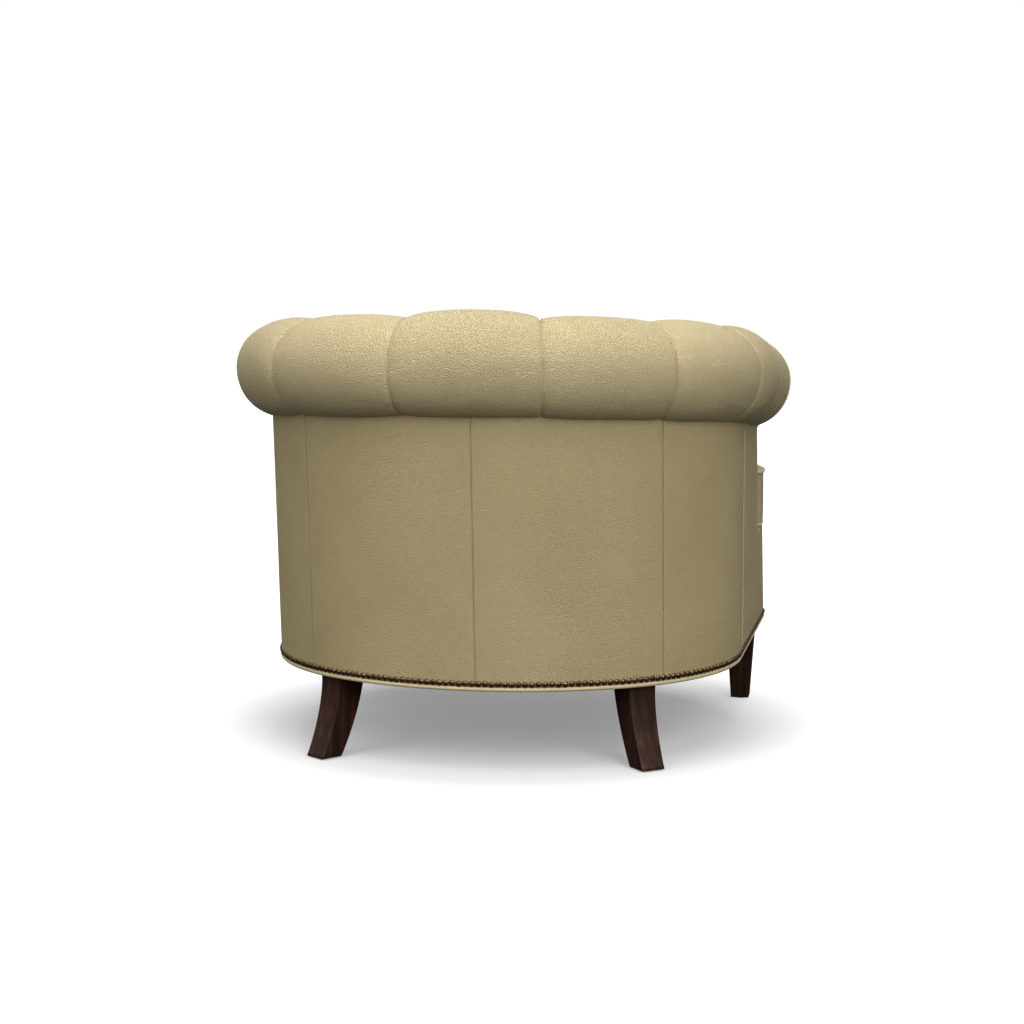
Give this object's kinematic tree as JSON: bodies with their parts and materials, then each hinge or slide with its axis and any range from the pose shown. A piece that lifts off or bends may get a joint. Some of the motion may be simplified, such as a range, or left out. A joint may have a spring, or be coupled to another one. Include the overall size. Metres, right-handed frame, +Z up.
{
  "type": "barrel armchair",
  "caption": "Leather barrel armchair with a pleated roll round the back and arms, nail trim, dark sabre rear legs and a loose T-shaped seat cushion that lifts out.",
  "frame": {"origin": "on the floor under the middle of the chair's overall box", "axes": "+Z up, the sitter faces -Y, +X is the sitter's left"},
  "size_m": [0.9246, 0.9092, 0.747],
  "materials": {
    "leather": "pebbled, semi-matt",
    "leg_wood": "dark stain, satin lacquer",
    "frame_wood": "sawn, unfinished",
    "glide_plastic": "matt",
    "clip_plastic": "matt",
    "steel": "zinc plated",
    "nail_bronze": "antique bronze",
    "black_cloth": "non-woven",
    "padding": "foam and felt",
    "webbing": "woven jute"
  },
  "bodies": {
    "chair": {"arm_facing_left": "leather", "arm_facing_right": "leather", "arm_post_left": "frame_wood", "arm_post_right": "frame_wood", "arm_rail_left": "frame_wood", "arm_rail_right": "frame_wood", "arm_roll_pads_left": "leather", "arm_roll_pads_right": "leather", "back_post_left": "frame_wood", "back_post_middle": "frame_wood", "back_post_right": "frame_wood", "back_rail": "frame_wood", "back_roll_pads": "leather", "base_welt": "leather", "corner_block_screws": "steel", "corner_blocks": "frame_wood", "deck_pad": "padding", "dust_cover": "black_cloth", "front_border": "leather", "front_corner_post_left": "frame_wood", "front_corner_post_right": "frame_wood", "front_leg_left": "leg_wood", "front_leg_right": "leg_wood", "front_rail": "frame_wood", "inside_webbing": "webbing", "leg_bolts": "steel", "leg_glides": "glide_plastic", "leg_nuts": "steel", "liner_rail_back": "frame_wood", "liner_rail_left": "frame_wood", "liner_rail_right": "frame_wood", "nail_trim": "nail_bronze", "outside_arm_left": "leather", "outside_arm_right": "leather", "outside_back_left": "leather", "outside_back_right": "leather", "outside_side_left": "leather", "outside_side_right": "leather", "rear_leg_left": "leg_wood", "rear_leg_right": "leg_wood", "seat_springs": "steel", "side_rail_left": "frame_wood", "side_rail_right": "frame_wood", "spring_clips": "clip_plastic", "spring_cover": "black_cloth", "spring_rail": "frame_wood", "top_rail_back": "frame_wood"},
    "seat_cushion": {"cushion_bottom": "leather", "cushion_boxing": "leather", "cushion_core": "padding", "cushion_top": "leather", "cushion_welts": "leather"}
  },
  "joints": [
    {"name": "cushion_lift", "type": "slide", "parent": "chair", "child": "seat_cushion", "axis": [0, 0, 1], "range_m": [0, 0.42]}
  ]
}
